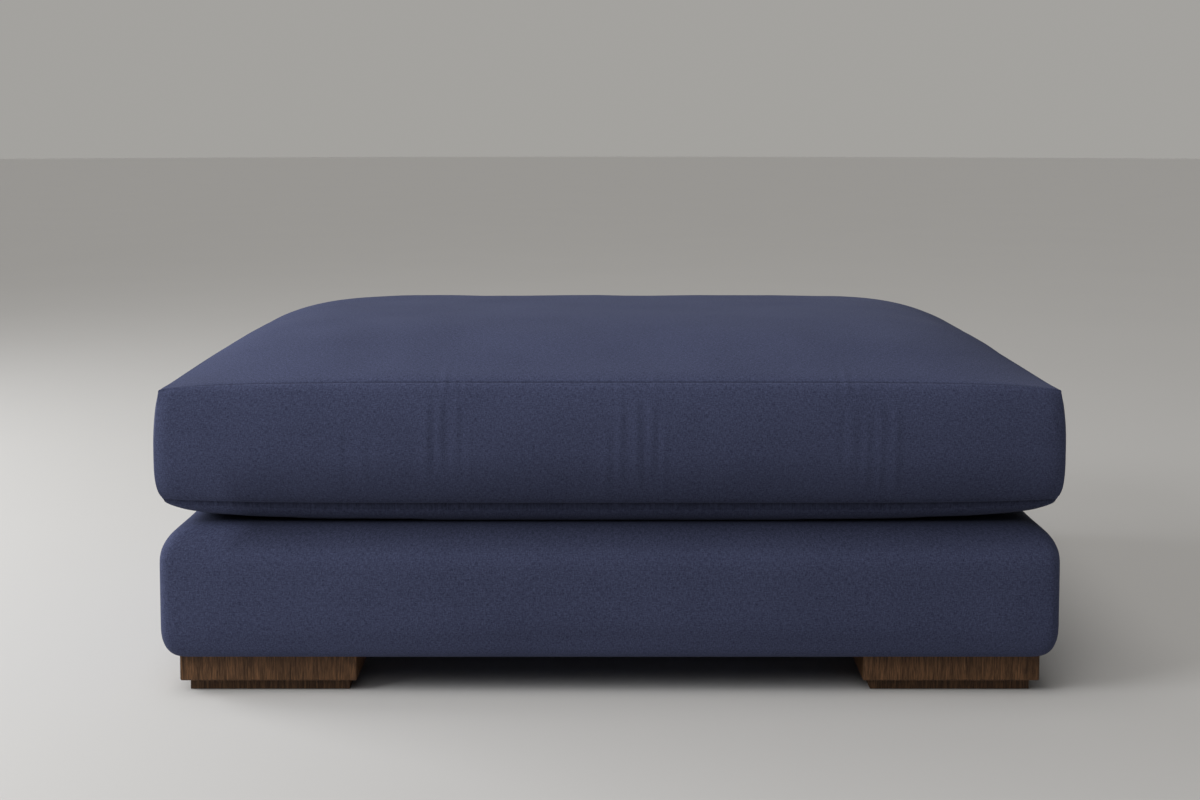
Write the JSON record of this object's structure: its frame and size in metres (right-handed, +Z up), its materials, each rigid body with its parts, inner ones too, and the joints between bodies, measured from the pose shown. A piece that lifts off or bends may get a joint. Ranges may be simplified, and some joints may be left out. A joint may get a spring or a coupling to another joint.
{
  "type": "footstool",
  "caption": "Rectangular upholstered ottoman: a loose boxed cushion with a crowned top on a padded box base with wide wooden block feet.",
  "frame": {"origin": "on the floor, under the centre of the ottoman", "axes": "+Z up, +X along the long side towards the viewer's right, +Y from the front towards the back"},
  "size_m": [1.1966, 0.8378, 0.4651],
  "materials": {
    "cushion_cloth": "plain navy upholstery cloth with a fine, slightly heathered weave",
    "base_cloth": "the same navy cloth, pulled tight over padding",
    "foot_block_wood": "dark walnut, satin",
    "foot_plinth_wood": "dark walnut, satin, a little darker"
  },
  "bodies": {
    "root": {"cushion": "cushion_cloth", "base": "base_cloth", "foot_block_front_left": "foot_block_wood", "foot_plinth_front_left": "foot_plinth_wood", "foot_block_back_left": "foot_block_wood", "foot_plinth_back_left": "foot_plinth_wood", "foot_block_front_right": "foot_block_wood", "foot_plinth_front_right": "foot_plinth_wood", "foot_block_back_right": "foot_block_wood", "foot_plinth_back_right": "foot_plinth_wood"}
  },
  "joints": []
}
